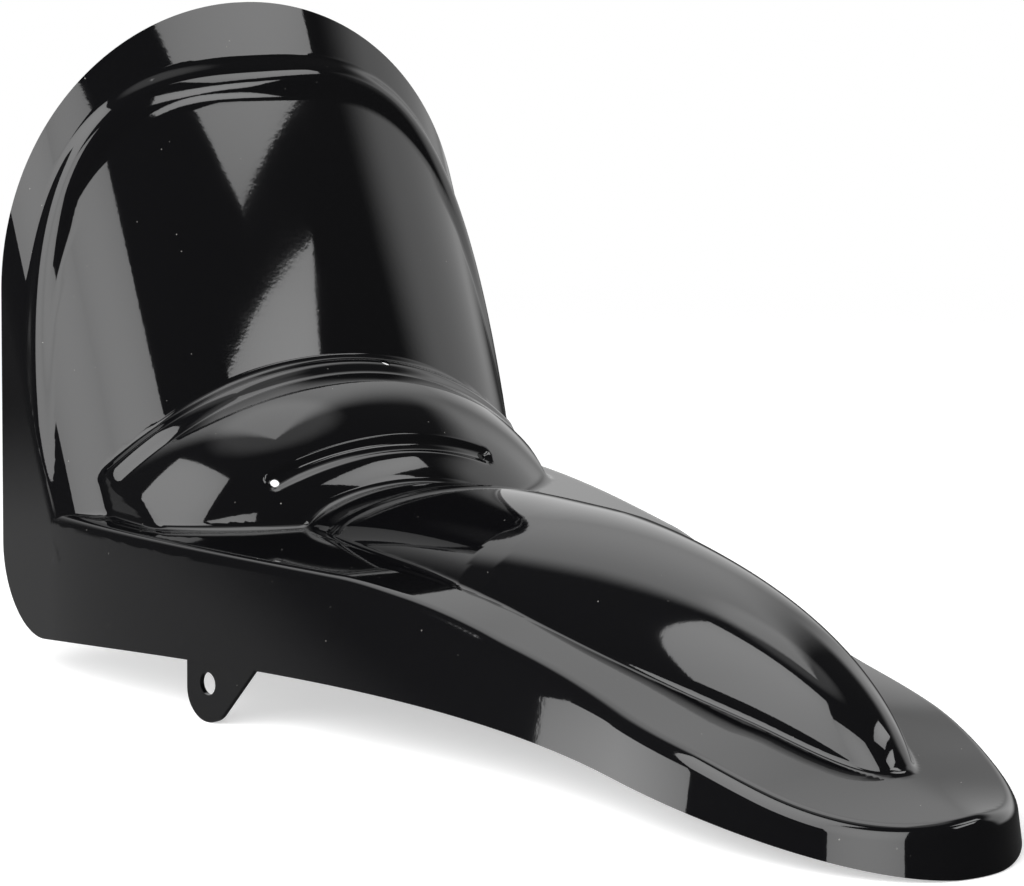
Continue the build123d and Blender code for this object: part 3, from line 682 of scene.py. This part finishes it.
class MUDGUARD_OT_shell(bpy.types.Operator):
    """Models the pressed shell over the CAD part's own form and paints it"""

    bl_idname = "mudguard.shell"
    bl_label = "Pressed shell"

    def execute(self, context):
        sizes = context.scene.mudguard_shell
        pressing = Pressing(sizes)
        grid = np.clip(skin_grid(pressing, sizes.hoops, sizes.spokes), CAD_BOX[0], CAD_BOX[1])
        rows, columns = grid.shape[:2]
        bpy.ops.object.select_all(action="DESELECT")
        bpy.ops.mesh.primitive_grid_add(x_subdivisions=columns - 1, y_subdivisions=rows - 1, size=1.0)
        shell = context.object
        shell.name = "pressed_shell"
        shell.data.vertices.foreach_set("co", grid.astype(np.float32).ravel())
        shell.data.update()
        self.thicken(shell, grid, pressing, sizes)
        self.drill(context, shell, pressing, sizes)
        self.smooth(shell, pressing)
        add_material(shell, enamel_material("shell_enamel"))
        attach(shell, "root")
        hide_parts("mudguard_shell")
        return {"FINISHED"}

    def thicken(self, shell, grid, pressing, sizes):
        """Gives the skin the sheet's thickness, inward, with square edges."""
        solid = shell.modifiers.new("sheet", "SOLIDIFY")
        solid.thickness = sizes.sheet
        solid.offset = -1.0
        bpy.ops.object.modifier_apply(modifier=solid.name)
        inward = pressing.normals(grid.reshape(-1, 3)).reshape(grid.shape)
        rim = np.array([math.cos(sizes.rim_lean), 0.0, -math.sin(sizes.rim_lean)])
        inward[0] -= (inward[0] @ rim)[:, None] * rim
        inward[:, (0, -1), 2] = 0.0
        inward /= np.linalg.norm(inward, axis=-1, keepdims=True)
        both = np.concatenate([grid.reshape(-1, 3), (grid - sizes.sheet * inward).reshape(-1, 3)])
        shell.data.vertices.foreach_set("co", both.astype(np.float32).ravel())
        shell.data.update()
        bpy.ops.object.mode_set(mode="EDIT")
        bpy.ops.mesh.select_all(action="SELECT")
        bpy.ops.mesh.remove_doubles(threshold=MERGE_GAP)
        bpy.ops.mesh.normals_make_consistent(inside=False)
        bpy.ops.object.mode_set(mode="OBJECT")

    def drill(self, context, shell, pressing, sizes):
        """Cuts the badge's pin holes and the hole in the lip."""
        lean = sizes.collar_lean
        axis = Vector((math.cos(lean), 0.0, -math.sin(lean)))
        up = Vector((math.sin(lean), 0.0, math.cos(lean)))
        origin = Vector((pressing.collar_origin[0], 0.0, pressing.collar_origin[1]))
        ends = (-sizes.seat_half_angle, sizes.seat_half_angle)
        spots = [(pressing.seat, pressing.seat_outward, turn, sizes.badge_hole) for turn in ends]
        spots.append(((0.0, sizes.collar_radius), (0.0, 1.0), sizes.crest_hole_angle, sizes.crest_hole))
        cutters = []
        for (along, radius), (tip, out), turn, diameter in spots:
            ray = up * math.cos(turn) + Vector((0.0, math.sin(turn), 0.0))
            facing = axis * tip + ray * out
            bpy.ops.mesh.primitive_cylinder_add(
                vertices=HOLE_SIDES,
                radius=diameter / 2.0,
                depth=CUTTER_LENGTH,
                location=origin + axis * along + ray * radius,
                rotation=facing.to_track_quat("Z", "Y").to_euler(),
            )
            cutters.append(context.object)
        for cutter in cutters:
            cut = shell.modifiers.new("hole", "BOOLEAN")
            cut.object = cutter
            cut.operation = "DIFFERENCE"
            cut.solver = "EXACT"
            context.view_layer.objects.active = shell
            bpy.ops.object.modifier_apply(modifier=cut.name)
            bpy.data.objects.remove(cutter)

    def smooth(self, shell, pressing):
        """Shades the skins by the form's own directions, and marks which faces lie inside."""
        mesh = shell.data
        points = np.empty(len(mesh.vertices) * 3)
        mesh.vertices.foreach_get("co", points)
        points = points.reshape(-1, 3)
        outward = pressing.normals(points)
        corners = np.empty(len(mesh.loops), dtype=np.int64)
        mesh.loops.foreach_get("vertex_index", corners)
        counts = np.empty(len(mesh.polygons), dtype=np.int64)
        mesh.polygons.foreach_get("loop_total", counts)
        flat = np.empty(len(mesh.polygons) * 3)
        mesh.polygons.foreach_get("normal", flat)
        flat = np.repeat(flat.reshape(-1, 3), counts, axis=0)
        face = np.repeat(np.arange(len(counts)), counts)
        facing = (outward[corners] * flat).sum(-1)
        mean = np.bincount(face, facing) / counts
        side = np.where(mean > FACING_LIMIT, 1.0, np.where(mean < -FACING_LIMIT, -1.0, 0.0))
        turned = outward[corners] * side[face][:, None]
        directions = np.where(side[face][:, None] == 0.0, flat, turned)
        mesh.polygons.foreach_set("use_smooth", np.ones(len(counts), dtype=bool))
        mesh.normals_split_custom_set(directions.tolist())
        mark = mesh.attributes.new("inside", "FLOAT", "FACE")
        mark.data.foreach_set("value", np.where(side < 0.0, 1.0, 0.0))


class MUDGUARD_OT_lugs(bpy.types.Operator):
    """Paints the two mounting lugs"""

    bl_idname = "mudguard.lugs"
    bl_label = "Mounting lugs"

    def execute(self, context):
        paint = enamel_material("lug_enamel")
        for name in ("right_mounting_lug", "left_mounting_lug"):
            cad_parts[name].material_slots[0].material = paint
        return {"FINISHED"}


def panel(name, corners, brightness):
    """A lit panel, hidden from the camera and casting no shadow, given by its lower and then its upper two corners.
    """
    bpy.ops.mesh.primitive_plane_add(size=2.0)
    sheet = bpy.context.object
    sheet.name = name
    for vertex, corner in zip(sheet.data.vertices, corners):
        vertex.co = corner
    material = bpy.data.materials.new(name)
    tree = Tree(material)
    place = tree.node("ShaderNodeTexCoord", out="UV")
    off = tree.node("ShaderNodeVectorMath", {"operation": "DISTANCE"}, {0: place, 1: (0.5, 0.5, 0.0)}, out="Value")
    strength = (PANEL_MIDDLE - off * off * PANEL_FALL) * brightness
    light = tree.node("ShaderNodeEmission", {}, {"Color": (1, 1, 1, 1), "Strength": strength})
    tree.node("ShaderNodeOutputMaterial", {}, {"Surface": light})
    add_material(sheet, material)
    sheet.visible_camera = False
    sheet.visible_shadow = False


def board(centre, azimuth, elevation, distance, corners):
    """Corners on a board that faces a centre from a direction in degrees, given across and up from its middle."""
    a, e = math.radians(azimuth), math.radians(elevation)
    away = Vector((math.cos(a) * math.cos(e), math.sin(a) * math.cos(e), math.sin(e)))
    across = Vector((-math.sin(a), math.cos(a), 0.0))
    up = away.cross(across)
    return [Vector(centre) + away * distance + across * u + up * v for u, v in corners]


class MUDGUARD_OT_studio(bpy.types.Operator):
    """Builds the floor, the walls and lit panels in the gloss, the backdrop's light and the camera"""

    bl_idname = "mudguard.studio"
    bl_label = "Studio"

    def execute(self, context):
        studio = context.scene.mudguard_studio
        self.floor(context)
        self.walls(context)
        for name, corners, brightness in BOARD_PANELS:
            panel(name, board(BOARD_AIM, *BOARD_PLACE, corners), brightness)
        for name, corners, brightness in PANELS:
            panel(name, corners, brightness)
        world = bpy.data.worlds.new("studio_light")
        context.scene.world = world
        tree = Tree(world)
        seen = self.seen(tree)
        strength = seen * (1.0 - WORLD_LIGHT) + WORLD_LIGHT
        background = tree.node("ShaderNodeBackground", {}, {"Color": (1, 1, 1, 1), "Strength": strength})
        tree.node("ShaderNodeOutputWorld", {}, {"Surface": background})
        camera = bpy.data.cameras.new("photo_camera")
        camera.lens = studio.lens
        camera.sensor_width = 36.0
        camera.sensor_fit = "HORIZONTAL"
        eye = bpy.data.objects.new("photo_camera", camera)
        context.collection.objects.link(eye)
        eye.location = studio.camera_place
        view = Vector(studio.camera_aim) - Vector(studio.camera_place)
        turn = view.to_track_quat("-Z", "Y").to_matrix().to_4x4()
        eye.rotation_euler = (turn @ Matrix.Rotation(studio.camera_roll, 4, "Z")).to_euler()
        context.scene.camera = eye
        context.scene.view_settings.view_transform = "Standard"
        return {"FINISHED"}

    def seen(self, tree):
        """One for rays that come from the camera or from gloss or glass, nought for the rest."""
        kinds = ("Is Camera Ray", "Is Glossy Ray", "Is Transmission Ray")
        camera, gloss, glass = (tree.node("ShaderNodeLightPath", out=kind) for kind in kinds)
        return camera.maths("MAXIMUM", gloss).maths("MAXIMUM", glass)

    def floor(self, context):
        """A pale floor under the part, left out of the gloss and white in the distance."""
        bpy.ops.object.select_all(action="DESELECT")
        bpy.ops.mesh.primitive_plane_add(size=12.0)
        floor = context.object
        floor.name = "floor"
        floor.location.z = CAD_BOX[0][2]
        floor.visible_glossy = False
        material = bpy.data.materials.new("pale_floor")
        tree = Tree(material)
        place = tree.node("ShaderNodeTexCoord", out="Object")
        far = tree.node("ShaderNodeVectorMath", {"operation": "LENGTH"}, {0: place}, out="Value").above(*FLOOR_FADE)
        shader = tree.node(
            "ShaderNodeBsdfPrincipled",
            {},
            {
                "Base Color": (0.8, 0.8, 0.8, 1.0),
                "Roughness": 0.8,
                "Emission Color": (1.0, 1.0, 1.0, 1.0),
                "Emission Strength": self.seen(tree) * FLOOR_GLOW,
            },
        )
        strength = self.seen(tree) * (1.0 - FAR_LIGHT) + FAR_LIGHT
        white = tree.node("ShaderNodeEmission", {}, {"Color": (1, 1, 1, 1), "Strength": strength})
        mixed = tree.node("ShaderNodeMixShader", {}, {0: far, 1: shader, 2: white})
        tree.node("ShaderNodeOutputMaterial", {}, {"Surface": mixed})
        floor.data.materials.append(material)

    def walls(self, context):
        """The dim studio round the part, seen only in the gloss: dark in front, lighter behind and above."""
        bpy.ops.mesh.primitive_uv_sphere_add(segments=64, ring_count=32, radius=WALL_RADIUS, location=WALL_CENTRE)
        walls = context.object
        walls.name = "studio_walls"
        material = bpy.data.materials.new("studio_walls")
        tree = Tree(material)
        place = tree.node("ShaderNodeTexCoord", out="Object")
        level = tree.node("ShaderNodeVectorMath", {"operation": "MULTIPLY"}, {0: place, 1: (1.0, 1.0, 0.0)})
        level = tree.node("ShaderNodeVectorMath", {"operation": "NORMALIZE"}, {0: level})

        def dot(vector, way):
            return tree.node("ShaderNodeVectorMath", {"operation": "DOT_PRODUCT"}, {0: vector, 1: way}, out="Value")

        def towards(azimuth, limit, soft):
            turn = math.radians(azimuth)
            return dot(level, (math.cos(turn), math.sin(turn), 0.0)).above(limit, soft)

        height = dot(place, (0.0, 0.0, 1.0 / WALL_RADIUS))
        climb = (height - BEHIND_FROM).maths("MAXIMUM", 0.0) * BEHIND_GAIN
        behind = towards(*BEHIND) * climb.maths("MAXIMUM", BEHIND_LEAST) * height.above(0.04, 0.05)
        right = towards(*RIGHT) * (1.0 - height.above(0.58, 0.1)) * height.above(0.05, 0.1) * RIGHT_LIGHT
        ground = (0.0 - height).above(0.115, 0.03) * towards(*GROUND) * GROUND_LIGHT
        overhead = dot(place, OVER_AIM).above(0.955, 0.02) * OVER_LIGHT
        glow = behind + right + ground + overhead + WALL_DIM
        light = tree.node("ShaderNodeEmission", {}, {"Color": (1, 1, 1, 1), "Strength": glow})
        tree.node("ShaderNodeOutputMaterial", {}, {"Surface": light})
        add_material(walls, material)
        walls.visible_camera = False
        walls.visible_diffuse = False
        walls.visible_shadow = False


class MUDGUARD_PT_panel(bpy.types.Panel):
    """Lists the pieces of the mudguard and its studio"""

    bl_idname = "MUDGUARD_PT_panel"
    bl_label = "Front mudguard"
    bl_space_type = "VIEW_3D"
    bl_region_type = "UI"
    bl_category = "Mudguard"

    def draw(self, context):
        for operator in ("mudguard.shell", "mudguard.lugs", "mudguard.studio"):
            self.layout.operator(operator)


CLASSES = (
    ShellSettings,
    PaintSettings,
    StudioSettings,
    MUDGUARD_OT_shell,
    MUDGUARD_OT_lugs,
    MUDGUARD_OT_studio,
    MUDGUARD_PT_panel,
)


def register():
    for cls in CLASSES:
        bpy.utils.register_class(cls)
    bpy.types.Scene.mudguard_shell = PointerProperty(type=ShellSettings)
    bpy.types.Scene.mudguard_paint = PointerProperty(type=PaintSettings)
    bpy.types.Scene.mudguard_studio = PointerProperty(type=StudioSettings)


def unregister():
    del bpy.types.Scene.mudguard_studio
    del bpy.types.Scene.mudguard_paint
    del bpy.types.Scene.mudguard_shell
    for cls in reversed(CLASSES):
        bpy.utils.unregister_class(cls)


def main():
    register()
    bpy.ops.mudguard.shell()
    bpy.ops.mudguard.lugs()
    bpy.ops.mudguard.studio()


if __name__ == "__main__":
    main()
